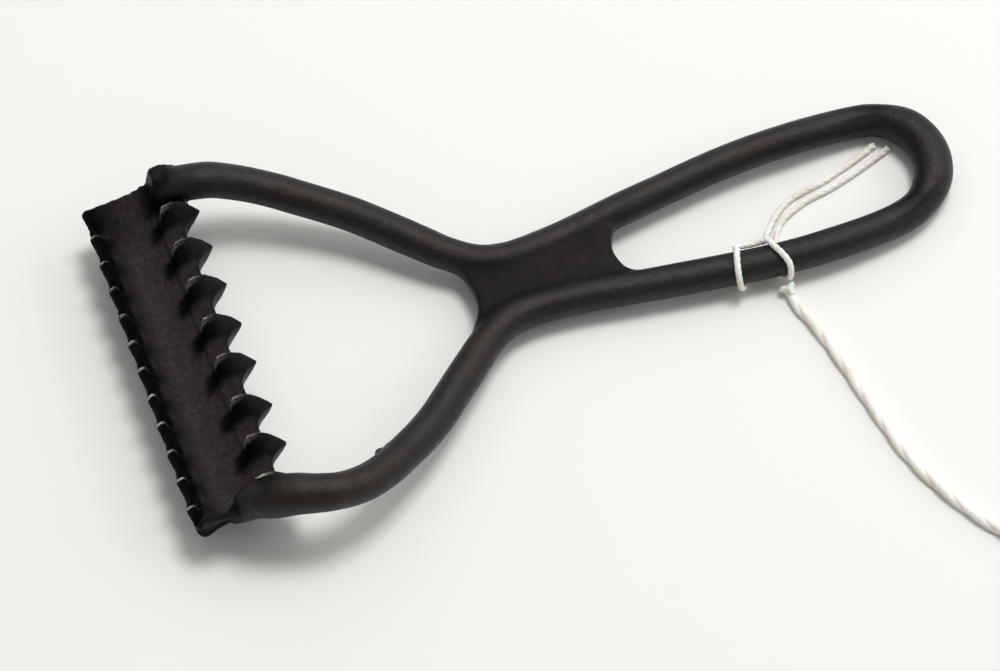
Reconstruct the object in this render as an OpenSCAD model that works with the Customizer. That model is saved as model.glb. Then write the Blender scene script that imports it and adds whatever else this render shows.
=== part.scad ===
// Hand corn shredder: a one-piece cast iron tool with a closed loop handle, two arms that spread
// from a webbed throat, and a trough across the far end. The trough's near edge carries a row of
// coarse scalloped teeth and its far edge a row of fine ones. A doubled cotton string is hitched
// round one rod of the loop so that the tool can be hung up.
// Millimetres, +Z up. The tool lies on its back, as it is put down on a table.

/* [Overall] */
// length from the end of the loop to the fine teeth
tool_length = 173.8; // [166:0.2:180]
// width over both ends of the trough's coarse side, with the arms that end there
head_width = 85; // [80:1:92]
// height of the coarse teeth above the table
head_height = 16.4; // [15:0.2:18]

/* [Handle] */
// thickness of the cast rod
rod_diameter = 6.8; // [6.2:0.1:7.4]
// centre line width of the loop at its widest
loop_width = 26.7; // [24:0.3:30]
// centre line width of the throat between loop and arms
throat_width = 13; // [12.4:0.2:15]
// centre height of the arms above the table where they meet the trough
arm_height = 16; // [14.8:0.2:17]
// thickness of the web between the rods at the throat
web_thickness = 3.2; // [2.4:0.1:4]

/* [Trough and teeth] */
// depth of the trough from the fine edge to the tips of the coarse teeth
trough_depth = 23.4; // [22:0.2:26]
// degrees that the trough is turned from square to the handle
head_turn = 1; // [0:0.5:2]
// coarse teeth along the near edge
coarse_teeth = 9; // [7:1:11]
// fine teeth along the far edge
fine_teeth = 12; // [10:1:15]
// how far the gullets between coarse teeth are cut back
coarse_depth = 4.2; // [3:0.2:5]
// how far the gullets between fine teeth are cut back
fine_depth = 1.3; // [0.8:0.1:1.8]
// thickness of the trough's floor
floor_thickness = 4.4; // [3.6:0.2:5]
// how much the fine row is shorter than the coarse row at each end
end_taper = 3.4; // [2:0.2:5]
// how far from each end the hollow reaches its full depth
hollow_run = 11; // [9:0.5:13]
// how far from each end the back comes down to the table
back_run = 15; // [12:0.5:18]

/* [String] */
// thickness of one strand of the cotton string
string_diameter = 1.3; // [1.1:0.1:1.5]
// thickness of the doubled lead
lead_diameter = 2; // [1.6:0.1:2.4]
// size of the knot that ties the lead to the hitch
lead_knot_diameter = 3.4; // [3:0.2:4]
// size of the knot at the free end of the lead
end_knot_diameter = 5; // [4:0.5:7]

/* [Hidden] */

rod_r = rod_diameter / 2;
string_r = string_diameter / 2;
lead_r = lead_diameter / 2;
lead_knot_r = lead_knot_diameter / 2;
end_knot_r = end_knot_diameter / 2;
function blend(t) = let (u = max(0, min(1, t))) u * u * (3 - 2 * u);
function mix(a, b, t) = a + (b - a) * t;

// Places along the tool are hundredths of its length, counted from the end of the loop.
hundredth = tool_length / 100;
loop_end = tool_length / 2;
function along(s) = loop_end - s * hundredth;

// handle: the rod's centre line on one side of the axis, as place and share of the way from the
// axis to the loop's widest, from the throat to the loop's widest and from the throat to the trough
loop_half = loop_width / 2;
throat_half = throat_width / 2;
arm_half = head_width / 2 - rod_r;
end_swell = 0.2;
loop_outline = [
    [rod_r * (1 + end_swell) / hundredth, 0], [2.65, 0.255], [3.5, 0.51], [5.05, 0.725], [7, 0.87], [9.3, 0.94],
    [11.9, 0.975], [14.8, 0.995], [18.2, 1]
];
neck_outline = [
    [22.2, 0.98], [27.4, 0.875], [32.5, 0.7], [37.8, 0.51], [42.9, 0.305], [48.1, 0.1], [53, 0]
];
arm_outline = [
    [55.3, 0.008], [57.1, 0.028], [58.5, 0.062], [59.8, 0.107], [61.3, 0.169], [63, 0.255], [64.9, 0.35],
    [67.2, 0.463], [69.5, 0.568], [72.1, 0.666], [74.7, 0.755], [77.3, 0.841], [80, 0.911], [82.3, 0.954]
];
// the arms' ends in the trough, as place, share of the way, share of the arm's height and of its
// thickness: both turn down there, the upper one runs outwards and the lower one turns in and widens
upper_end = [
    [84.1, 0.975, 0.944, 1], [86, 0.998, 0.955, 1], [87.6, 1.03, 0.9, 1], [89, 1.06, 0.84, 0.97], [90.6, 1.075, 0.81, 0.95]
];
lower_end = [
    [84.1, 0.966, 0.944, 1], [86, 0.94, 0.955, 1.04], [88, 0.9, 0.93, 1.1], [90, 0.857, 0.86, 1.15],
    [91.7, 0.818, 0.8, 1.12]
];
// the rod is thicker round the closed end of the loop and a little thicker in the arms
function rod_radius(s) = rod_r * (1 + end_swell * (1 - blend((s - 2.4) / 4)) + 0.06 * blend((s - 57) / 8));
// the loop's end rests on the table and the rods behind it stand clear of it by one strand of string
rod_lift = string_diameter * 1.15;
function lifted(s) = blend((s - 4.6) / 15);
function rod_height(s) = rod_radius(s) + rod_lift * lifted(s)
    + (arm_height - rod_r - rod_lift) * pow(max(0, s - 51) / 34.8, 2.1);
// the throat lies a hair to the lower side, and the loop's end and the head to the upper side
axis_sag = rod_r * 0.25;
function sag(s) = axis_sag * (lifted(s) - 0.55 * (1 - blend((s - 4) / 7)) - blend((s - 55) / 20));
head_offset = rod_r * 0.76;
function arm_at(share) = mix(throat_half, arm_half, share);
lower_reach = arm_at(lower_end[0][1]) + rod_radius(lower_end[0][0]);
axis_y = -(head_offset + head_width / 2 - lower_reach) / 2;
head_y = axis_y + head_offset;
// the lower arm bows out a little more than the upper one
function bowed(s, side) = side < 0 ? axis_sag * (blend((s - 66) / 7) - blend((s - 78) / 6)) : 0;
function rod_point(s, half, side) =
    [along(s), axis_y - sag(s) + side * (half + bowed(s, side)), rod_height(s)];
function side_points(side) = concat(
    [for (p = loop_outline) rod_point(p[0], loop_half * p[1], side)],
    [for (p = neck_outline) rod_point(p[0], mix(throat_half, loop_half, p[1]), side)],
    [for (p = arm_outline) rod_point(p[0], arm_at(p[1]), side)]);
function end_points(outline, side) = [
    for (p = outline) [along(p[0]), axis_y - sag(p[0]) + side * arm_at(p[1]), arm_height * p[2]]
];
function side_radii(outline) = concat(
    [for (p = concat(loop_outline, neck_outline, arm_outline)) rod_radius(p[0])],
    [for (p = outline) rod_radius(p[0]) * p[3]]);
function reversed(list) = [for (i = [len(list) - 1 : -1 : 0]) list[i]];
function tail_of(list) = [for (i = [1 : len(list) - 1]) list[i]];
upper_side = concat(side_points(1), end_points(upper_end, 1));
lower_side = concat(side_points(-1), end_points(lower_end, -1));
rod_route = concat(reversed(tail_of(lower_side)), upper_side);
rod_radii = concat(reversed(tail_of(side_radii(lower_end))), side_radii(upper_end));
rod_sides = 14;

// tube: rings of a round section carried along a path
function unit(v) = v / norm(v);
function tangent(path, i) = unit(path[min(len(path) - 1, i + 1)] - path[max(0, i - 1)]);
function carried(n, t) = unit(n - t * (n * t));
function normals(path, i, n) = i == len(path) ? []
    : let (m = carried(n, tangent(path, i))) concat([m], normals(path, i + 1, m));
function ring(c, n, b, r, sides) =
    [for (k = [0 : sides - 1]) let (a = 360 * k / sides) c + r * (cos(a) * n + sin(a) * b)];
function tube_points(path, radii, sides) = let (ns = normals(path, 0, [0.02, 0.01, 1]))
    [for (i = [0 : len(path) - 1])
        each ring(path[i], ns[i], cross(tangent(path, i), ns[i]), is_list(radii) ? radii[i] : radii, sides)];
function tube_faces(rings, sides) = concat(
    [[for (k = [0 : sides - 1]) k]],
    [[for (k = [sides - 1 : -1 : 0]) (rings - 1) * sides + k]],
    [for (i = [0 : rings - 2], k = [0 : sides - 1])
        let (a = i * sides + k, b = i * sides + (k + 1) % sides, c = a + sides, d = b + sides)
            each [[a, c, b], [b, c, d]]]);
module tube(path, radii, sides) {
    polyhedron(points = tube_points(path, radii, sides), faces = tube_faces(len(path), sides));
}
// a route of a few points rounded into a smooth path
function spline_point(p0, p1, p2, p3, t) = 0.5 * (2 * p1 + (p2 - p0) * t
    + (2 * p0 - 5 * p1 + 4 * p2 - p3) * t * t + (3 * p1 - p0 - 3 * p2 + p3) * t * t * t);
function smooth_path(p, steps) = concat(
    [for (i = [0 : len(p) - 2], j = [0 : steps - 1])
        spline_point(p[max(0, i - 1)], p[i], p[i + 1], p[min(len(p) - 1, i + 2)], j / steps)],
    [p[len(p) - 1]]);

// web: a thinner plate between the rods, as place and share of half the throat's width. It is
// round at the loop and hollowed towards the head, and its edges lie inside the rods.
web_outline = [
    [40, 1.15], [41.3, 0.82], [42.2, 0.45], [42.6, 0.12], [42.6, -0.15], [42.4, -0.43], [42, -0.69], [41.1, -0.89],
    [40.1, -1], [38.6, -1.12], [37, -1.3], [43, -1.3], [53, -1], [57.4, -1.12], [60.5, -1.6], [62.6, -1.6],
    [61.5, -1.12], [60.4, -0.72], [59.8, -0.3], [59.7, 0], [59.75, 0.3], [60, 0.75], [60.8, 1.2], [60.2, 1.5],
    [57.4, 1.12], [53, 1], [43, 1.25]
];
module web() {
    translate([0, 0, rod_height(53) - web_thickness / 2])
        linear_extrude(web_thickness)
            polygon([for (p = web_outline) [along(p[0]), axis_y - sag(p[0]) + p[1] * throat_half]]);
}
// stubs left where the iron was poured, on the inner side of the lower arm
gate_stubs = [[73.5, 0.646], [77.5, 0.757]];
stub_r = rod_r * 0.35;
module handle_frame() color([0.10, 0.10, 0.11]) {
    tube(rod_route, rod_radii, rod_sides);
    web();
    for (g = gate_stubs) translate(rod_point(g[0], arm_at(g[1]), -1)) sphere(r = stub_r, $fn = 10);
}

// trough: each ring is one section across it, from its far wall under its floor to the near wall
// and back over the teeth. A crest of 1 is a tooth's ridge and 0 is the middle of a gullet.
rings_per_tooth = 8;
// the lower arm's end stands in for the last part of the outermost tooth
ring_count = coarse_teeth * rings_per_tooth - 4;
ring_step = head_width / (coarse_teeth * rings_per_tooth);
function coarse_y(j) = head_width / 2 - j * ring_step;
lower_corner = coarse_y(ring_count);
function fine_y(j) = mix(fine_start, lower_corner, j / ring_count);
fine_start = head_width / 2 - end_taper;
fine_step = 2 * fine_start / fine_teeth;
function turned(y) = y * tan(head_turn);
function cusp(u) = pow(abs(1 - 2 * (u - floor(u))), 1.9);
// the outermost coarse teeth are the blocks that the arms run into
function coarse_crest(j) = let (u = j / rings_per_tooth)
    max(cusp(u), blend((0.65 - u) * 4), u > coarse_teeth - 1 ? 1 : 0);
function fine_crest(j) = cusp((fine_start - fine_y(j)) / fine_step);
// how far the hollow has sunk and how far the back has still to come down at a ring
end_wall = hollow_run * 0.13;
function end_distance(j) = min(j, ring_count - j) * ring_step;
function hollow(j) = let (t = max(0, min(1, (end_distance(j) - end_wall) / hollow_run))) sqrt(1 - (1 - t) * (1 - t));
function back_rise(j) = pow(1 - min(1, end_distance(j) / back_run), 2.2);
// how far each end is bowed in plan between its corners
function end_bow(j) = end_taper * (j < ring_count / 2 ? -0.1 : 0.2) * (1 - blend(end_distance(j) / hollow_run));
// points of one section as [share of the depth, share of the height, extra height, cut, share of the
// way from the fine row to the coarse row]
function section(j) =
    let (
        c = coarse_crest(j), f = 1 - fine_crest(j), h = hollow(j), b = 0.537 * back_rise(j),
        cut = coarse_depth * (1 - c), notch = fine_depth * f, low = floor_thickness, fine_top = 0.762,
        end_top = 0.756
    )
    [
        [0.026, 0.567, 0, notch * 0.6, 0],
        [0.047, 0.378 + b * 0.06, 0, notch * 0.2, 0.03],
        [0.133, 0.177 + b * 0.33, 0, 0, 0.12],
        [0.253, 0.043 + b * 0.75, 0, 0, 0.24],
        [0.373, b, 0, 0, 0.36],
        [0.614, b, 0, 0, 0.6],
        [0.742, 0.055 + b * 0.95, 0, 0, 0.73],
        [0.858, 0.2 + b * 0.75, 0, -cut * 0.3, 0.85],
        [0.944, 0.36 + b * 0.4, 0, -cut * 0.7, 0.94],
        [1, 0.524, 0, -cut, 1],
        [0.996, mix(0.56, 0.573, c), 0, -cut, 1],
        [0.91, mix(0.57, 0.787, c), 0, -cut * 0.8, 0.93],
        [0.828, mix(0.56, 0.933, c), 0, -cut * 0.5, 0.85],
        [0.764, mix(0.54, 1, c), 0, -cut * 0.3, 0.78],
        [0.682, mix(0.51, 1, c), 0, -cut * 0.1, 0.7],
        [0.652, mix(0.49, 0.945, c), 0, -cut * 0.1, 0.67],
        [0.614, mix(end_top + 0.037, mix(0.45, 0.695, c), h), 0, 0, 0.62],
        [0.558, mix(end_top + 0.012, 0.4, h), 0, 0, 0.56],
        [0.476, mix(end_top, 0.061, h), low * h, 0, 0.48],
        [0.356, mix(end_top - 0.012, 0, h), low * h, 0, 0.35],
        [0.253, mix(end_top - 0.012, 0.043, h), low * h, 0, 0.24],
        [0.172, mix(end_top - 0.006, 0.165, h), low * h, -notch * 0.35, 0.15],
        [0.116, mix(end_top, 0.567, h), 0, -notch * 0.2, 0.09],
        [0.077, fine_top - f * 0.061, 0, notch * 0.4, 0.05],
        [0.03, fine_top - f * 0.067, 0, notch * 0.8, 0.01],
        [0, fine_top - 0.073 - f * 0.037, 0, notch, 0]
    ];
section_size = len(section(0));
far_edge = -tool_length / 2 - turned(lower_corner);
trough_points = [
    for (j = [0 : ring_count], p = section(j))
        let (y = mix(fine_y(j), coarse_y(j), p[4]) + end_bow(j) * 4 * p[4] * (1 - p[4]))
            [far_edge + turned(y) + trough_depth * p[0] + p[3], head_y + y, head_height * p[1] + p[2]]
];
function ring_middle(j) = let (s = [for (i = [0 : section_size - 1]) trough_points[j * section_size + i]])
    [for (a = [0 : 2]) (min([for (p = s) p[a]]) + max([for (p = s) p[a]])) / 2];
cap_start = (ring_count + 1) * section_size;
last_ring = ring_count * section_size;
trough_faces = concat(
    [for (j = [0 : ring_count - 1], i = [0 : section_size - 1])
        let (a = j * section_size + i, b = j * section_size + (i + 1) % section_size)
            each [[a, b, a + section_size], [b, b + section_size, a + section_size]]],
    [for (i = [0 : section_size - 1]) [cap_start, (i + 1) % section_size, i]],
    [for (i = [0 : section_size - 1]) [cap_start + 1, last_ring + i, last_ring + (i + 1) % section_size]]);
module toothed_trough() color([0.12, 0.11, 0.11])
    polyhedron(points = concat(trough_points, [ring_middle(0), ring_middle(ring_count)]), faces = trough_faces);

// string: a cow hitch round the lower rod, one unbroken strand. A point of it is [strands from the
// hitch's middle, angle round the rod, gap]: 0 degrees is the loop's inner side and 270 underneath.
hitch_place = 26.5;
wrap_r = rod_r + string_r * 1.15;
function strands(n) = hitch_place + n * string_diameter / hundredth;
function neck_half(s) = mix(throat_half, loop_half, lookup(s, neck_outline));
function lower_rod(s) = axis_y - sag(s) - neck_half(s);
function on_table(x, y, r) = [x, y, r + string_r * 0.15];
function wrapped(n, angle, gap) = let (s = strands(n))
    [
        along(s),
        lower_rod(s) + (wrap_r + gap * string_r) * cos(angle),
        max(string_r * 1.15, rod_height(s) + (wrap_r + gap * string_r) * sin(angle))
    ];
function inside(n, y) = let (s = strands(n)) on_table(along(s), lower_rod(s) + y * rod_r, string_r);
left_wrap = [for (a = [270 : -15 : 60]) wrapped(4.2 + 1.3 * sin(a - 60) - 0.6 * blend((a - 200) / 70), a, 0)];
right_wrap = [
    for (a = [60 : 15 : 270]) wrapped(0.9 * blend((a - 200) / 70) - 1.2 - 1.5 * blend((a - 60) / 90), a, 0)
];
bridge = [
    wrapped(4.1, 42, 0.1), wrapped(3.5, 28, 0.15), wrapped(2.4, 22, 0.15), wrapped(1.2, 20, 0.15),
    wrapped(0.1, 22, 0.15), wrapped(-0.7, 32, 0.15), wrapped(-1.1, 46, 0.1)
];
first_run = [inside(-2.9, 2.5), inside(-2.5, 2.1), inside(-1.9, 1.6), inside(-0.8, 1.05), inside(0.9, 0.5)];
last_run = [inside(-2.2, 0.5), inside(-2.8, 1.05), inside(-3.5, 1.6), inside(-4.1, 2.1), inside(-4.6, 2.5)];
hitch_path = concat(first_run, left_wrap, bridge, right_wrap, last_run);
// the least gap between parts of the strand that are six or more points apart along it
hitch_gap = min([for (i = [0 : len(hitch_path) - 1], k = [i + 6 : 1 : len(hitch_path) - 1])
    norm(hitch_path[i] - hitch_path[k])]) - string_diameter;
echo(hitch_gap = hitch_gap);
strand_sides = 6;
lead_sides = 8;
cotton = [0.93, 0.91, 0.86];
module string_hitch() color(cotton) tube(hitch_path, string_r, strand_sides);

// two loose tails that lie on the table inside the loop, as places and hundredths from the axis
function tail_path(start, route) =
    smooth_path(concat([start], [for (p = route) on_table(along(p[0]), axis_y + p[1] * hundredth, string_r)]), 3);
upper_tail = [[22.5, -1.1], [20.2, 0.5], [17.6, 1.2], [15, 1.7], [12.4, 2.5], [10.2, 3.2], [7.4, 4.3]];
lower_tail = [[21.8, -1.8], [20.1, -0.9], [17.9, -0.1], [15.1, 0.4], [12, 1.2], [8.7, 2.3], [6, 3.3]];
module string_tail_upper() color(cotton) tube(tail_path(first_run[0], upper_tail), string_r, strand_sides);
module string_tail_lower() color(cotton) tube(tail_path(last_run[4], lower_tail), string_r, strand_sides);

// the doubled lead is tied to the hitch on the loop's outer side and lies on the table
tie_place = strands(-2);
lead_tie = [along(tie_place), lower_rod(tie_place) - rod_r - lead_knot_r * 1.3, lead_knot_r * 1.1];
lead_route = [[24.7, -13.9], [23.8, -17.4], [22.9, -23.2], [22, -30.1], [20.9, -36.5], [18.5, -42.9], [15.1, -48.7],
    [11, -53.3], [7.5, -57.4]];
lead_path = smooth_path(concat(
    [on_table(lead_tie[0], lead_tie[1], lead_r)],
    [for (p = lead_route) on_table(along(p[0]), axis_y + p[1] * hundredth, lead_r)]), 4);
module string_lead() color(cotton) tube(lead_path, lead_r, lead_sides);
module string_lead_knot() color(cotton) translate(lead_tie) sphere(r = lead_knot_r, $fn = 14);
lead_stop = lead_path[len(lead_path) - 1];
module string_end_knot() color(cotton)
    translate([lead_stop[0] + end_knot_r * 0.2, lead_stop[1] - end_knot_r * 0.7, end_knot_r * 1.02])
        sphere(r = end_knot_r, $fn = 18);

handle_frame();
toothed_trough();
string_hitch();
string_tail_upper();
string_tail_lower();
string_lead_knot();
string_lead();
string_end_knot();
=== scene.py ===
import math

import bmesh
import bpy
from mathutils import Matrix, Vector, kdtree, noise


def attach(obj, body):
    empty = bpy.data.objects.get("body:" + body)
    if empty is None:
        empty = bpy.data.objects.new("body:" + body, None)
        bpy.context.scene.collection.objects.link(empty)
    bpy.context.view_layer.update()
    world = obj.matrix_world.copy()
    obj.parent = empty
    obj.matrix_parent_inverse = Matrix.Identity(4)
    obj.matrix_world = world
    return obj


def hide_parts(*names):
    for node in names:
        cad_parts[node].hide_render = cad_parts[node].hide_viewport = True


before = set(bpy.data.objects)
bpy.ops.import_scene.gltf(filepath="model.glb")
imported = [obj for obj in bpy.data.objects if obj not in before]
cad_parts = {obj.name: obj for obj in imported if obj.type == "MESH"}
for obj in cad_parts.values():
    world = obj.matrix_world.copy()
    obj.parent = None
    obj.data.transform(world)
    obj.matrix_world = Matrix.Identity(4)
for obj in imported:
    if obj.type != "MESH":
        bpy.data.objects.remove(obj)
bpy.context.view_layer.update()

# Camera at the photograph's angle: a long lens that looks down at 58.5 degrees, turned 20.7
# degrees towards the loop of the handle. All sizes below are in millimetres.
MM = 0.001
camera_data = bpy.data.cameras.new("camera")
camera_data.sensor_width = 36
camera_data.lens = 129.77
camera = bpy.data.objects.new("camera", camera_data)
bpy.context.collection.objects.link(camera)
camera.location = Vector((-147.4, -362.05, 614.7)) * MM
camera.rotation_euler = (math.radians(31.5), 0, math.radians(-20.7))
bpy.context.scene.camera = camera

# Cotton string: one strand of three plies, tied round the lower rod of the loop in a cow hitch.
# The strand goes under the rod, over it, across the inner side, over it again and out below.
# Places along the tool are hundredths of its length, counted from the end of the loop.
TOOL_LENGTH = 173.8
HUNDREDTH = TOOL_LENGTH / 100
ROD_R = 3.4
STRING_R = 0.65
ROD_LIFT = 1.495
LOOP_HALF, THROAT_HALF, ARM_HALF = 13.35, 6.5, 39.1
ARM_HEIGHT = 16
AXIS_Y = -1.742
AXIS_BEND = 0.85
HITCH_PLACE = 26.5
STRAND_STEP = 0.16
NECK = [(22.2, 0.98), (27.4, 0.875), (32.5, 0.7), (37.8, 0.51), (42.9, 0.305), (48.1, 0.1), (53, 0)]


def blend(t):
    t = max(0.0, min(1.0, t))
    return t * t * (3 - 2 * t)


def mix(a, b, t):
    return a + (b - a) * t


def looked_up(table, s):
    for (s0, h0), (s1, h1) in zip(table, table[1:]):
        if s <= s1:
            return mix(h0, h1, (s - s0) / (s1 - s0))
    return table[-1][1]


def along(s):
    return TOOL_LENGTH / 2 - s * HUNDREDTH


def lifted(s):
    return blend((s - 4.6) / 15)


def axis_at(s):
    return AXIS_Y - AXIS_BEND * (lifted(s) - 0.55 * (1 - blend((s - 4) / 7)) - blend((s - 55) / 20))


def rod_radius(s):
    return ROD_R * (1 + 0.2 * (1 - blend((s - 2.4) / 4)) + 0.06 * blend((s - 57) / 8))


def rod_height(s):
    climb = (max(0.0, s - 51) / 34.8) ** 2.1
    return rod_radius(s) + ROD_LIFT * lifted(s) + (ARM_HEIGHT - ROD_R - ROD_LIFT) * climb


def between(p0, p1, p2, p3, t):
    """A point of the rounded line from p1 to p2, with p0 before them and p3 after them."""
    return 0.5 * (2 * p1 + (p2 - p0) * t + (2 * p0 - 5 * p1 + 4 * p2 - p3) * t**2
                  + (3 * p1 - p0 - 3 * p2 + p3) * t**3)


def smooth_line(points, step):
    """Points about one step apart on the rounded route through a few given ones."""
    points = [Vector(p) for p in points]
    ends = [points[0]] + points + [points[-1]]
    line = []
    for p0, p1, p2, p3 in zip(ends, ends[1:], ends[2:], ends[3:]):
        count = max(1, round((p2 - p1).length / step))
        for i in range(count):
            line.append(between(p0, p1, p2, p3, i / count))
    return line + [points[-1]]


def rolled_sheet(name, around, length, place):
    """A grid rolled into a closed skin with capped ends: place(u, v) gives each point."""
    bm = bmesh.new()
    bm.loops.layers.uv.new("skin")
    bmesh.ops.create_grid(bm, x_segments=around, y_segments=length, size=0.5, calc_uvs=True)
    for vert in bm.verts:
        u = round((vert.co.x + 0.5) * around) % around
        v = round((vert.co.y + 0.5) * length)
        vert.co = place(u, v) * MM
    bmesh.ops.remove_doubles(bm, verts=bm.verts, dist=1e-7)
    rims = [edge for edge in bm.edges if edge.is_boundary]
    caps = bmesh.ops.holes_fill(bm, edges=rims, sides=0)["faces"]
    bmesh.ops.poke(bm, faces=caps)
    bmesh.ops.recalc_face_normals(bm, faces=bm.faces)
    return finished_piece(name, bm)


def finished_piece(name, bm):
    mesh = bpy.data.meshes.new(name)
    bm.to_mesh(mesh)
    bm.free()
    mesh.shade_smooth()
    mesh.set_sharp_from_angle(angle=math.radians(50))
    piece = bpy.data.objects.new(name, mesh)
    bpy.context.collection.objects.link(piece)
    return piece


def turned_frames(line):
    """For each point of a line, two directions square to it that turn as little as they can."""
    side = Vector((0.02, 0.01, 1))
    frames = []
    for i in range(len(line)):
        ahead = (line[min(len(line) - 1, i + 1)] - line[max(0, i - 1)]).normalized()
        side = (side - ahead * side.dot(ahead)).normalized()
        frames.append((side, ahead.cross(side)))
    return frames


def twisted_strand(name, line, radius, plies, lay, around=24, groove=0.2, frayed=0.0):
    """Plies laid round each other, one lobe each, that turn once in every lay of the line."""
    frames = turned_frames(line)
    reach = [0.0]
    for a, b in zip(line, line[1:]):
        reach.append(reach[-1] + (b - a).length)

    def place(i, j):
        turn = math.tau * (i / around)
        lobe = abs(math.cos(plies * (turn - math.tau * reach[j] / lay) / 2))
        loose = frayed * blend((reach[j] - reach[-1] + 5) / 5)
        grow = 1 + 0.12 * loose - (groove + 0.35 * loose) * (1 - lobe) ** 1.5
        grow *= 1 + (0.03 + 0.25 * loose) * noise.noise(Vector((i * 0.9, reach[j] * 2.2, plies)))
        side, up = frames[j]
        point = line[j] + radius * grow * (math.cos(turn) * side + math.sin(turn) * up)
        point.z = max(0.0, point.z)
        return point

    return rolled_sheet(name, around, len(line) - 1, place)


def cotton_finish():
    material = bpy.data.materials.new("cotton")
    material.use_nodes = True
    nodes, links = material.node_tree.nodes, material.node_tree.links
    shader = nodes["Principled BSDF"]
    shader.inputs["Roughness"].default_value = 0.92
    shader.inputs["Sheen Weight"].default_value = 0.25
    shader.inputs["Sheen Roughness"].default_value = 0.5
    shader.inputs["Subsurface Weight"].default_value = 0.3
    shader.inputs["Subsurface Scale"].default_value = 0.0012
    place = nodes.new("ShaderNodeTexCoord")
    fibres = nodes.new("ShaderNodeTexNoise")
    fibres.inputs["Scale"].default_value = 2600
    fibres.inputs["Detail"].default_value = 5
    links.new(place.outputs["Object"], fibres.inputs["Vector"])
    soil = nodes.new("ShaderNodeTexNoise")
    soil.inputs["Scale"].default_value = 190
    links.new(place.outputs["Object"], soil.inputs["Vector"])
    tone = nodes.new("ShaderNodeValToRGB")
    tone.color_ramp.elements[0].position = 0.3
    tone.color_ramp.elements[0].color = (0.80, 0.77, 0.70, 1)
    tone.color_ramp.elements[1].position = 0.62
    tone.color_ramp.elements[1].color = (0.93, 0.92, 0.88, 1)
    links.new(soil.outputs["Fac"], tone.inputs["Fac"])
    links.new(tone.outputs["Color"], shader.inputs["Base Color"])
    relief = nodes.new("ShaderNodeBump")
    relief.inputs["Strength"].default_value = 0.5
    relief.inputs["Distance"].default_value = 0.00012
    links.new(fibres.outputs["Fac"], relief.inputs["Height"])
    links.new(relief.outputs["Normal"], shader.inputs["Normal"])
    return material


cotton = cotton_finish()


def lower_rod(s):
    return axis_at(s) - mix(THROAT_HALF, LOOP_HALF, looked_up(NECK, s))


def strands(n):
    """The place n strand widths from the middle of the hitch."""
    return HITCH_PLACE + n * 2 * STRING_R / HUNDREDTH


def wrapped(n, angle, gap=0.0):
    s = strands(n)
    reach = ROD_R + STRING_R * (1.15 + gap)
    turn = math.radians(angle)
    return (along(s), lower_rod(s) + reach * math.cos(turn),
            max(STRING_R * 1.15, rod_height(s) + reach * math.sin(turn)))


def on_table(x, y, radius):
    return (x, y, radius + STRING_R * 0.15)


def inside(n, y):
    s = strands(n)
    return on_table(along(s), lower_rod(s) + y * ROD_R, STRING_R)


left_wrap = [wrapped(4.2 + 1.3 * math.sin(math.radians(a - 60)) - 0.6 * blend((a - 200) / 70), a)
             for a in range(270, 59, -15)]
right_wrap = [wrapped(0.9 * blend((a - 200) / 70) - 1.2 - 1.5 * blend((a - 60) / 90), a)
              for a in range(60, 271, 15)]
bridge = [wrapped(4.1, 42, 0.1), wrapped(3.5, 28, 0.15), wrapped(2.4, 22, 0.15), wrapped(1.2, 20, 0.15),
          wrapped(0.1, 22, 0.15), wrapped(-0.7, 32, 0.15), wrapped(-1.1, 46, 0.1)]
first_run = [inside(n, y) for n, y in ((-2.9, 2.5), (-2.5, 2.1), (-1.9, 1.6), (-0.8, 1.05), (0.9, 0.5))]
last_run = [inside(n, y) for n, y in ((-2.2, 0.5), (-2.8, 1.05), (-3.5, 1.6), (-4.1, 2.1), (-4.6, 2.5))]
hitch_route = first_run + left_wrap + bridge + right_wrap + last_run
hitch = twisted_strand("cotton_hitch", smooth_line(hitch_route, STRAND_STEP), STRING_R, 3, 4.2)
hitch.data.materials.append(cotton)
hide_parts("string_hitch")
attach(hitch, "root")

# The strand's two loose tails lie on the table inside the loop, cut by hand and frayed at the ends.
UPPER_TAIL = [(22.5, -1.1), (20.2, 0.5), (17.6, 1.2), (15, 1.7), (12.4, 2.5), (10.2, 3.2), (7.4, 4.3)]
LOWER_TAIL = [(21.8, -1.8), (20.1, -0.9), (17.9, -0.1), (15.1, 0.4), (12, 1.2), (8.7, 2.3), (6, 3.3)]


for side, start, points in (("upper", first_run[0], UPPER_TAIL), ("lower", last_run[-1], LOWER_TAIL)):
    route = [start] + [on_table(along(s), AXIS_Y + y * HUNDREDTH, STRING_R) for s, y in points]
    line = smooth_line(route, STRAND_STEP)
    tail = twisted_strand("cotton_tail_" + side, line, STRING_R, 3, 5.5, frayed=1)
    tail.data.materials.append(cotton)
    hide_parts("string_tail_" + side)
    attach(tail, "root")

# A doubled lead of the same cotton is tied to the hitch on the outer side of the loop. It lies in
# a loose curve over the table, leaves the picture and ends in a knot just beyond it.
LEAD_R = 1.0
LEAD_STEP = 0.2
KNOT_R = 1.7
STOP_R = 2.3
tie_place = strands(-2)
tie = (along(tie_place), lower_rod(tie_place) - ROD_R - KNOT_R * 1.3, KNOT_R * 1.1)
lead_points = [(24.7, -13.9), (23.8, -17.4), (22.9, -23.2), (22, -30.1), (20.9, -36.5), (18.5, -42.9),
               (15.1, -48.7), (11, -53.3), (7.5, -57.4)]
lead_route = [on_table(tie[0], tie[1], LEAD_R)]
lead_route += [on_table(along(s), AXIS_Y + y * HUNDREDTH, LEAD_R) for s, y in lead_points]
lead_line = smooth_line(lead_route, LEAD_STEP)
lead = twisted_strand("cotton_lead", lead_line, LEAD_R, 2, 15, groove=0.4)
lead.data.materials.append(cotton)
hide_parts("string_lead")
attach(lead, "root")


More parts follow.
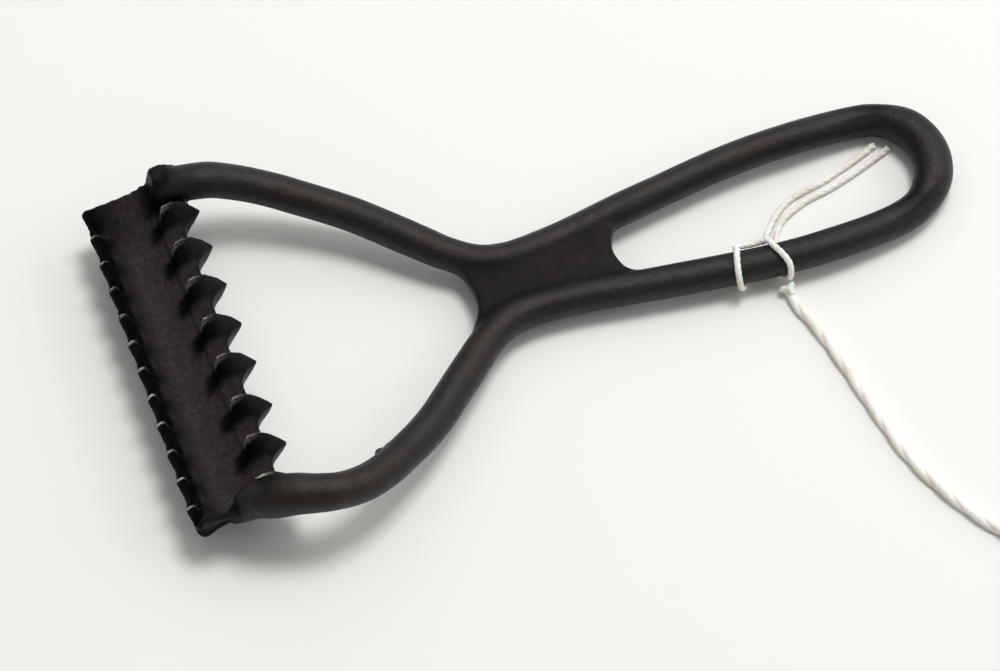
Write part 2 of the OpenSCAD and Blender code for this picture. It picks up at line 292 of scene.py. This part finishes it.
def small_knot(name, node, centre, size, seed):
    """A half knot pulled tight: one strand that winds round itself, size across."""
    turns = []
    for i in range(15):
        t = math.tau * i / 15
        turns.append((centre[0] + size * 0.42 * math.sin(t) + size * 0.3 * math.sin(2 * t + seed),
                      centre[1] + size * 0.42 * math.cos(t) - size * 0.3 * math.cos(2 * t + seed),
                      centre[2] - size * 0.32 * math.sin(3 * t)))
    knot = twisted_strand(name, smooth_line(turns, LEAD_STEP), size * 0.4, 2, 5, groove=0.35, around=18)
    knot.data.materials.append(cotton)
    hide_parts(node)
    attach(knot, "root")
    return knot


lead_knot = small_knot("cotton_lead_knot", "string_lead_knot", tie, KNOT_R, 0.4)
stop = lead_line[-1]
stop_place = (stop.x + 0.5, stop.y - 1.7, 2.5)
end_knot = small_knot("cotton_end_knot", "string_end_knot", stop_place, STOP_R, 1.1)

# Handle: a rod cast in one run from one arm round the loop to the other arm, with a thinner web
# between the rods at the throat and two stubs left from pouring. Black iron, worn smooth by hands.
LOOP = [(2.35, 0), (2.65, 0.255), (3.5, 0.51), (5.05, 0.725), (7, 0.87), (9.3, 0.94), (11.9, 0.975),
        (14.8, 0.995), (18.2, 1)]
LOWER_BULGE = 0.85
ARM = [(55.3, 0.008), (57.1, 0.028), (58.5, 0.062), (59.8, 0.107), (61.3, 0.169), (63, 0.255),
       (64.9, 0.35), (67.2, 0.463), (69.5, 0.568), (72.1, 0.666), (74.7, 0.755), (77.3, 0.841),
       (80, 0.911), (82.3, 0.954)]
# the arms' ends in the trough: place, share of the way, height and thickness
UPPER_END = [(84.1, 0.975, 15.1, 1), (86, 0.998, 15.15, 1), (87.6, 1.03, 14.4, 1), (89, 1.06, 13.44, 1),
             (90.1, 1.07, 13.2, 1)]
LOWER_END = [(84.1, 0.966, 15.1, 1), (86, 0.94, 15.15, 1.04), (88, 0.9, 14.88, 1.1),
             (90, 0.857, 13.76, 1.15), (91.7, 0.818, 12.8, 1.12)]
# the lower arm runs out in a low tongue along the end of the trough
TONGUE = [(92.9, 0.81, 11.5, 0.95), (94, 0.815, 10, 0.65), (95.4, 0.825, 9.3, 0.35)]


def rod_point(s, half, side):
    if side < 0:
        half += LOWER_BULGE * (blend((s - 66) / 7) - blend((s - 78) / 6))
    return Vector((along(s), axis_at(s) + side * half, rod_height(s)))


def arm_end(side, end):
    return [Vector((along(s), axis_at(s) + side * mix(THROAT_HALF, ARM_HALF, w), z)) for s, w, z, _ in end]


def rod_half(side, end):
    route = [rod_point(s, LOOP_HALF * w, side) for s, w in LOOP]
    route += [rod_point(s, mix(THROAT_HALF, LOOP_HALF, w), side) for s, w in NECK]
    return route + [rod_point(s, mix(THROAT_HALF, ARM_HALF, w), side) for s, w in ARM] + arm_end(side, end)


def iron_rod(name, route, swell=0.0):
    """A round rod along a route, as thick as the tool is at each place of it."""
    around = 40
    line = smooth_line(route, 0.5)
    frames = turned_frames(line)

    def place(i, j):
        turn = math.tau * i / around
        side, up = frames[j]
        centre = line[j]
        s = (TOOL_LENGTH / 2 - centre.x) / HUNDREDTH
        ends = LOWER_END + TONGUE if centre.y < 0 else UPPER_END
        thick = looked_up([(82.3, 1)] + [(end[0], end[3]) for end in ends], s) if s > 82.3 else 1
        radius = rod_radius(s) * thick + swell * blend((s - 82) / 3) - swell / 2
        radius += 0.07 * noise.noise(centre * 0.11)
        return centre + radius * (math.cos(turn) * side + math.sin(turn) * up)

    return rolled_sheet(name, around, len(line) - 1, place)


def cast_iron_finish(name, dust_and_shade):
    """Black iron. Marks on the trough give its dusty floor, thinned in places as painted shade, its lips
    painted bright as wear and painted highlight, and its dull head painted near black as painted shade,
    and on the handle its dull web."""
    material = bpy.data.materials.new(name)
    material.use_nodes = True
    nodes, links = material.node_tree.nodes, material.node_tree.links
    shader = nodes["Principled BSDF"]
    place = nodes.new("ShaderNodeTexCoord")

    def cloud(scale, detail, rough=0.55):
        texture = nodes.new("ShaderNodeTexNoise")
        texture.inputs["Scale"].default_value = scale
        texture.inputs["Detail"].default_value = detail
        texture.inputs["Roughness"].default_value = rough
        links.new(place.outputs["Object"], texture.inputs["Vector"])
        return texture.outputs["Fac"]

    def ramp(value, low, high, a, b):
        node = nodes.new("ShaderNodeValToRGB")
        node.color_ramp.elements[0].position = low
        node.color_ramp.elements[0].color = (*a, 1)
        node.color_ramp.elements[1].position = high
        node.color_ramp.elements[1].color = (*b, 1)
        links.new(value, node.inputs["Fac"])
        return node.outputs["Color"]

    def over(share, a, b):
        node = nodes.new("ShaderNodeMix")
        node.data_type = "RGBA"
        links.new(share, node.inputs["Factor"])
        links.new(a, node.inputs["A"])
        links.new(b, node.inputs["B"])
        return node.outputs["Result"]

    black_brown = ramp(cloud(75, 5), 0.38, 0.66, (0.004, 0.003, 0.003), (0.012, 0.009, 0.007))
    blue_grey = ramp(cloud(900, 3), 0.35, 0.7, (0.004, 0.004, 0.004), (0.012, 0.011, 0.011))
    skin = over(ramp(cloud(48, 3), 0.45, 0.62, (0, 0, 0), (1, 1, 1)), black_brown, blue_grey)
    dull_and_shade_mark = nodes.new("ShaderNodeAttribute")
    dull_and_shade_mark.attribute_name = "head" if dust_and_shade else "web"
    if dust_and_shade:
        # painted shade: the trough head's iron is painted near black so its shaded tooth faces come out
        # dark
        painted_shade_black = ramp(cloud(420, 4), 0.35, 0.7, (0.002, 0.002, 0.002), (0.008, 0.006, 0.005))
        skin = over(dull_and_shade_mark.outputs["Fac"], skin, painted_shade_black)
        # dust on the trough floor, thinned towards the fine wall so the dark iron shows there as painted
        # shade
        dust_and_shade_mark = nodes.new("ShaderNodeAttribute")
        dust_and_shade_mark.attribute_name = "floor"
        dust = ramp(cloud(950, 6, 0.8), 0.3, 0.7, (0.015, 0.013, 0.0124), (0.062, 0.054, 0.051))
        skin = over(dust_and_shade_mark.outputs["Fac"], skin, dust)
        # the lips' mark is painted bright: partly wear, partly painted highlight
        wear_and_glint_mark = nodes.new("ShaderNodeAttribute")
        wear_and_glint_mark.attribute_name = "wear_and_glint"
        wear_and_glint_colour = ramp(cloud(1400, 3), 0.3, 0.7, (0.3, 0.28, 0.25), (0.75, 0.71, 0.66))
        skin = over(wear_and_glint_mark.outputs["Fac"], skin, wear_and_glint_colour)
    links.new(skin, shader.inputs["Base Color"])
    gloss = ramp(cloud(420, 4), 0.3, 0.7, (0.36, 0.36, 0.36), (0.52, 0.52, 0.52))
    if dust_and_shade:
        dull = ramp(cloud(420, 4), 0.3, 0.7, (0.7, 0.7, 0.7), (0.85, 0.85, 0.85))
        gloss = over(dust_and_shade_mark.outputs["Fac"], gloss, dull)
    sheen = nodes.new("ShaderNodeMapRange")
    sheen.inputs["To Min"].default_value = 0.35
    sheen.inputs["To Max"].default_value = 0.1 if dust_and_shade else 0.12
    links.new(dull_and_shade_mark.outputs["Fac"], sheen.inputs["Value"])
    shader.inputs["Specular Tint"].default_value = (1, 0.93, 0.89, 1)
    links.new(sheen.outputs["Result"], shader.inputs["Specular IOR Level"])
    links.new(gloss, shader.inputs["Roughness"])
    grain = nodes.new("ShaderNodeBump")
    grain.inputs["Strength"].default_value = 0.8
    grain.inputs["Distance"].default_value = 0.0002
    links.new(cloud(2100, 5, 0.65), grain.inputs["Height"])
    swell = nodes.new("ShaderNodeBump")
    swell.inputs["Strength"].default_value = 0.6
    swell.inputs["Distance"].default_value = 0.0003
    links.new(cloud(330, 3), swell.inputs["Height"])
    links.new(grain.outputs["Normal"], swell.inputs["Normal"])
    links.new(swell.outputs["Normal"], shader.inputs["Normal"])
    return material


def applied(piece, modifiers):
    """Gives the piece the mesh that these modifiers make of it, with none of them left live."""
    for kind, settings in modifiers:
        modifier = piece.modifiers.new(kind.lower(), kind)
        for key, value in settings.items():
            setattr(modifier, key, value)
    bpy.context.view_layer.update()
    shaped = bpy.data.meshes.new_from_object(piece.evaluated_get(bpy.context.evaluated_depsgraph_get()))
    piece.modifiers.clear()
    piece.data = shaped


# the outline of the web: place and share of the throat's half width
WEB = [(40, 1.15), (41.3, 0.82), (42.2, 0.45), (42.6, 0.12), (42.6, -0.15), (42.4, -0.43), (42, -0.69),
       (41.1, -0.89), (40.1, -1), (38.6, -1.12), (37, -1.3), (43, -1.3), (53, -1), (57.4, -1.12),
       (60.5, -1.6), (62.6, -1.6), (61.5, -1.12), (60.4, -0.72), (59.8, -0.3), (59.7, 0), (59.75, 0.3),
       (60, 0.75), (60.8, 1.2), (60.2, 1.5), (57.4, 1.12), (53, 1), (43, 1.25)]
WEB_THICK = 3.2
STUBS = [(77.4, 0.732), (76.2, 0.708)]
STUB_R = 1.2
HANDLE_GRID = 0.36
handle = iron_rod("iron_handle", rod_half(-1, LOWER_END)[:0:-1] + rod_half(1, UPPER_END))
casting = bmesh.new()
casting.from_mesh(handle.data)
web_low = rod_height(53) - WEB_THICK / 2
rim = [casting.verts.new(Vector((along(s), axis_at(s) + w * THROAT_HALF, web_low)) * MM) for s, w in WEB]
plate = casting.faces.new(rim)
raised = bmesh.ops.extrude_face_region(casting, geom=[plate])["geom"]
bmesh.ops.translate(casting, verts=[v for v in raised if isinstance(v, bmesh.types.BMVert)],
                    vec=(0, 0, WEB_THICK * MM))
for s, share in STUBS:
    stub = bmesh.ops.create_icosphere(casting, subdivisions=3, radius=STUB_R * MM)["verts"]
    bmesh.ops.translate(casting, verts=stub, vec=rod_point(s, mix(THROAT_HALF, ARM_HALF, share), -1) * MM)
bmesh.ops.recalc_face_normals(casting, faces=casting.faces)
bpy.data.objects.remove(handle)
handle = finished_piece("iron_handle", casting)
applied(handle, [("REMESH", {"mode": "VOXEL", "voxel_size": HANDLE_GRID * MM, "use_smooth_shade": True}),
                 ("SMOOTH", {"factor": 0.5, "iterations": 8})])
fillets = handle.vertex_groups.new(name="fillets")
for vertex in handle.data.vertices:
    x, y, z = vertex.co / MM
    s = (TOOL_LENGTH / 2 - x) / HUNDREDTH
    side = abs(y - axis_at(s)) / THROAT_HALF
    share = blend((s - 38.5) / 2) * (1 - blend((s - 62) / 2))
    share *= 1 - blend((z - web_low - WEB_THICK - 0.9) / 0.8)
    share *= 1 - blend((side - 1.3) / 0.5)
    fillets.add([vertex.index], share, "REPLACE")
applied(handle, [("SMOOTH", {"factor": 0.5, "iterations": 26, "vertex_group": "fillets"})])
web_mark = handle.data.attributes.new("web", "FLOAT", "POINT")
for vertex in handle.data.vertices:
    above = vertex.co.z / MM - web_low - WEB_THICK
    level = blend((vertex.normal.z - 0.75) / 0.2)
    web_mark.data[vertex.index].value = level * (1 - blend((above - 0.2) / 0.5))
for vertex in handle.data.vertices:
    vertex.co.z = max(vertex.co.z, 0)
handle.data.shade_smooth()
handle.data.materials.clear()
handle.data.materials.append(cast_iron_finish("handle_iron", False))
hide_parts("handle_frame")
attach(handle, "root")

# Trough: the working head, cast with the handle. Its near edge has nine coarse teeth, its far
# edge twelve fine ones, each row a line of ridges between round gullets. The ridges are worn bright,
# and their lips are painted bright as wear and painted highlight.
COARSE, FINE = 9, 12
WIDTH, DEPTH, HIGH = 85.0, 23.15, 16.4
PITCH = WIDTH / COARSE
LAST = 8.44
TAPER = 3.4
FLOOR = 4.4
TROUGH_GRID = 0.303
COARSE_CUT, FINE_CUT = 4.2, 0.9
HEAD_Y = AXIS_Y + 2.584
TURN = math.tan(math.radians(1))
LOWER_CORNER = WIDTH / 2 - LAST * PITCH
FAR_EDGE = 0.25 - TOOL_LENGTH / 2 - TURN * LOWER_CORNER
# the teeth are not quite evenly spaced: (tooth, shift)
TOOTH_SHIFT = [(0, -0.1), (1, 0.2), (2, 0.6), (3, 0.6), (4, 0.3), (5, 0.4), (6, -0.5), (7, -0.15), (9, 0)]
RINGS_PER_TOOTH = 32
RINGS = round(LAST * RINGS_PER_TOOTH)


def cusp(u, power=1.9):
    """1 at each whole u, where a tooth is, and 0 in the gullets between them."""
    return min(1.0, abs(1 - 2 * (u - math.floor(u))) / 0.965) ** power


def coarse_crest(q, power):
    """The outermost teeth are the blocks that the arms run into."""
    return max(cusp(q, power), blend((0.65 - q) / 0.25), blend((q - COARSE + 1) / 0.1))


def fine_crest(q):
    return cusp(q * (WIDTH / 2 - TAPER - LOWER_CORNER) / LAST / (WIDTH - 2 * TAPER) * FINE)


def section(q):
    """A section q teeth from the upper end. Each of its points has its shares of the depth and the
    height, its share of the way to the coarse row, and its marks for the dusty floor, thinned towards the
    fine wall as painted shade, and for the lips, painted bright as wear and painted highlight."""
    end = min(q, LAST - q) * PITCH
    # reach and height of the coarse row, dust in its gullets, and the fine row's gullets
    c = coarse_crest(q, mix(2, 3, blend(q - 0.5)))
    k = coarse_crest(q, 4)
    g = blend((0.3 - k) / 0.25)
    f = 1 - fine_crest(q)
    # the upper block's extra height, how hollow the trough is here and how far its back rises
    block = 0.06 * blend((0.55 - q) / 0.3)
    t = max(0.0, min(1.0, (end - 0.7) / 11.5))
    h = math.sqrt(1 - (1 - t) ** 2) if q > LAST / 2 else math.sin(math.pi / 2 * min(1.0, end / 10.5))
    b = 0.537 * (1 - min(1.0, end / 15)) ** 2.2
    cut = COARSE_CUT * (1 - c) / DEPTH
    notch = FINE_CUT * f / DEPTH
    low = FLOOR / HIGH * h
    top, rim = 0.756, 0.762
    return [
        (0.026 + notch * 0.3, 0.567 - f * 0.03, 0, 0, 0),
        (0.047 + notch * 0.1, 0.378 + b * 0.06, 0.03, 0, 0),
        (0.133, 0.177 + b * 0.42, 0.12, 0, 0),
        (0.253, 0.043 + b * 0.92, 0.24, 0, 0),
        (0.373, b, 0.36, 0, 0),
        (0.614, b, 0.6, 0, 0),
        (0.742, 0.055 + b * 0.95, 0.73, 0, 0),
        (0.858 - cut * 0.3, 0.2 + b * 0.75, 0.85, 0, 0),
        (0.944 - cut * 0.7, 0.36 + b * 0.4, 0.94, 0, 0),
        (1 - cut, 0.524, 1, 0, 0),
        (0.996 - cut, mix(0.56, 0.573 + block, c), 1, 0, 0),
        # last column: the lip mark, which paints the ridge tops bright as wear and painted highlight
        (0.91 - cut * 0.8, mix(0.57, 0.787 + block * 1.5, k), 0.93, 0.4 * g, 0.04),
        (0.828 - cut * 0.5, mix(0.56, 0.933 + block, k), 0.85, 0.6 * g, 0.06),
        (0.764 - cut * 0.3, mix(0.54, 1 + block, k), 0.78, 0.7 * g, 0.1),
        (0.682 - cut * 0.1, mix(0.51, 1.01 + block, k), 0.7, 0.75 * g, 0.6),
        (0.652 - cut * 0.1, mix(0.49, 0.975 + block, k), 0.67, 0.8 * g, 1),
        (0.614, mix(top + 0.037, mix(0.45, 0.695, k), h), 0.62, 0.85 * g, 0),
        (0.558, mix(top + 0.012, 0.4, h), 0.56, 0.3 + 0.6 * g, 0),
        (0.476, mix(top, 0.061, h) + low, 0.48, 1, 0),
        # the dust mark thins from here towards the fine wall, so the floor darkens there as painted shade
        (0.356, mix(top - 0.012, 0, h) + low, 0.35, 0.85, 0),
        (0.253, mix(top - 0.012, 0.043, h) + low, 0.24, 0.4, 0),
        (0.182 - notch * 0.3, mix(top - 0.006, 0.165 - f * 0.08, h) + low, 0.16, 0.1, 0),
        (0.126 - notch * 0.5, mix(top, 0.567 - f * 0.27, h), 0.1, 0, 0),
        (0.077 - notch * 0.1, rim - f * 0.28, 0.05, 0, 0.2),
        (0.03 + notch * 0.45, rim - f * 0.2, 0.01, 0, 1),
        (notch * 0.6, rim - 0.073 - f * 0.1, 0, 0, 0.5),
    ]


def round_section(points, per_span):
    """The closed smooth outline through a section's points, with its marks."""
    count = len(points)
    out = []
    for i in range(count):
        p0, p1, p2, p3 = (Vector(points[(i + k) % count]) for k in (-1, 0, 1, 2))
        for n in range(per_span):
            out.append(between(p0, p1, p2, p3, n / per_span))
    return out


outlines = [round_section(section(j / RINGS_PER_TOOTH), 5) for j in range(RINGS + 1)]
around_trough = len(outlines[0])


def trough_place(i, j):
    q = j / RINGS_PER_TOOTH
    x, z, share, dust_and_shade, rim_mark = outlines[j][i]
    end = min(q, LAST - q) * PITCH
    fine_y = mix(WIDTH / 2 - TAPER, LOWER_CORNER, q / LAST)
    coarse_y = WIDTH / 2 - q * PITCH + looked_up(TOOTH_SHIFT, q)
    bow = (-0.1 if q < LAST / 2 else 0.2) * TAPER * (1 - blend(end / 11))
    y = mix(fine_y, coarse_y, share) + bow * 4 * share * (1 - share)
    y += 1.8 * max(0.0, 1 - share / 0.12) ** 2 * (1 - blend((LAST - q) * PITCH / 4))
    crest = cusp(q) if share > 0.5 else fine_crest(q)
    # lip mark on the crests: wear and painted highlight
    wear_and_glint = max(0.0, min(1.0, rim_mark)) * blend((crest - 0.92) / 0.07)
    dust_and_shade *= blend((LAST * PITCH - q * PITCH - 0.8) / 1.6)
    point = Vector((FAR_EDGE + DEPTH * x + TURN * y, HEAD_Y + y, max(0.0, z * HIGH)))
    point += 0.05 * noise.noise_vector(point * 0.45)
    point.z = max(0.0, point.z)
    marks.append((point * MM, max(0.0, min(1.0, dust_and_shade)), wear_and_glint))
    return point


marks = []
# the uneven skin of the casting comes out the same each run
noise.seed_set(1)
trough = rolled_sheet("iron_trough", around_trough, RINGS, trough_place)
casting = bmesh.new()
casting.from_mesh(trough.data)
bpy.data.objects.remove(trough)
for side, end in ((1, UPPER_END), (-1, LOWER_END + TONGUE)):
    last_arm = rod_point(82.3, mix(THROAT_HALF, ARM_HALF, 0.954), side)
    root = iron_rod("arm_root", [last_arm] + arm_end(side, end), 0.14)
    casting.from_mesh(root.data)
    bpy.data.objects.remove(root)
trough = finished_piece("iron_trough", casting)
applied(trough, [("REMESH", {"mode": "VOXEL", "voxel_size": TROUGH_GRID * MM, "use_smooth_shade": True}),
                 ("SMOOTH", {"factor": 0.5, "iterations": 3})])
JOINS = [Vector((-66, 39, 12.5)), Vector((-70, -38.5, 11))]
joins = trough.vertex_groups.new(name="joins")
for vertex in trough.data.vertices:
    away = min((vertex.co / MM - place).length for place in JOINS)
    joins.add([vertex.index], 1 - blend((away - 4) / 3), "REPLACE")
applied(trough, [("SMOOTH", {"factor": 0.5, "iterations": 18, "vertex_group": "joins"})])
for vertex in trough.data.vertices:
    vertex.co.z = max(vertex.co.z, 0)
trough.data.shade_smooth()
nearest = kdtree.KDTree(len(marks))
for index, (point, dust_and_shade, wear_and_glint) in enumerate(marks):
    nearest.insert(point, index)
nearest.balance()
# marks for the dust, thinned in places as painted shade, and for the lips, painted bright as wear and
# painted highlight
dust_and_shade_mark = trough.data.attributes.new("floor", "FLOAT", "POINT")
wear_and_glint_mark = trough.data.attributes.new("wear_and_glint", "FLOAT", "POINT")
head_mark = trough.data.attributes.new("head", "FLOAT", "POINT")
for vertex in trough.data.vertices:
    _, found, away = nearest.find(vertex.co)
    share = 1 - blend((away / MM - 0.5) / 0.5)
    head_mark.data[vertex.index].value = 1 - blend((away / MM - 0.4) / 2)
    dust_and_shade_mark.data[vertex.index].value = marks[found][1] * share
    wear_and_glint_mark.data[vertex.index].value = marks[found][2] * share
trough.data.materials.clear()
trough.data.materials.append(cast_iron_finish("trough_iron", True))
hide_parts("toothed_trough")
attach(trough, "root")

# Plain pale floor under the tool, and soft light from above, from behind and from the right.
floor_bm = bmesh.new()
bmesh.ops.create_grid(floor_bm, x_segments=1, y_segments=1, size=3)
floor = finished_piece("floor", floor_bm)
floor_finish = bpy.data.materials.new("floor")
floor_finish.use_nodes = True
floor_shader = floor_finish.node_tree.nodes["Principled BSDF"]
floor_shader.inputs["Base Color"].default_value = (0.88, 0.872, 0.848, 1)
floor_shader.inputs["Roughness"].default_value = 0.8
floor_shader.inputs["Specular IOR Level"].default_value = 0.2
floor.data.materials.append(floor_finish)


def soft_light(name, place, size, power):
    data = bpy.data.lights.new(name, "AREA")
    data.shape = "SQUARE"
    data.size = size
    data.energy = power
    light = bpy.data.objects.new(name, data)
    bpy.context.collection.objects.link(light)
    light.location = place
    light.rotation_euler = (-Vector(place)).to_track_quat("-Z", "Y").to_euler()


soft_light("window", (0.3, 0.18, 1.1), 0.4, 7.1)
soft_light("ceiling", (0.7, 1.6, 2.1), 3.1, 20)
soft_light("side", (2.1, -0.2, 1.2), 1.8, 15)
world = bpy.data.worlds.new("room")
world.use_nodes = True
world.node_tree.nodes["Background"].inputs["Color"].default_value = (1, 0.99, 0.97, 1)
world.node_tree.nodes["Background"].inputs["Strength"].default_value = 0.33
bpy.context.scene.world = world
bpy.context.scene.view_settings.view_transform = "Standard"
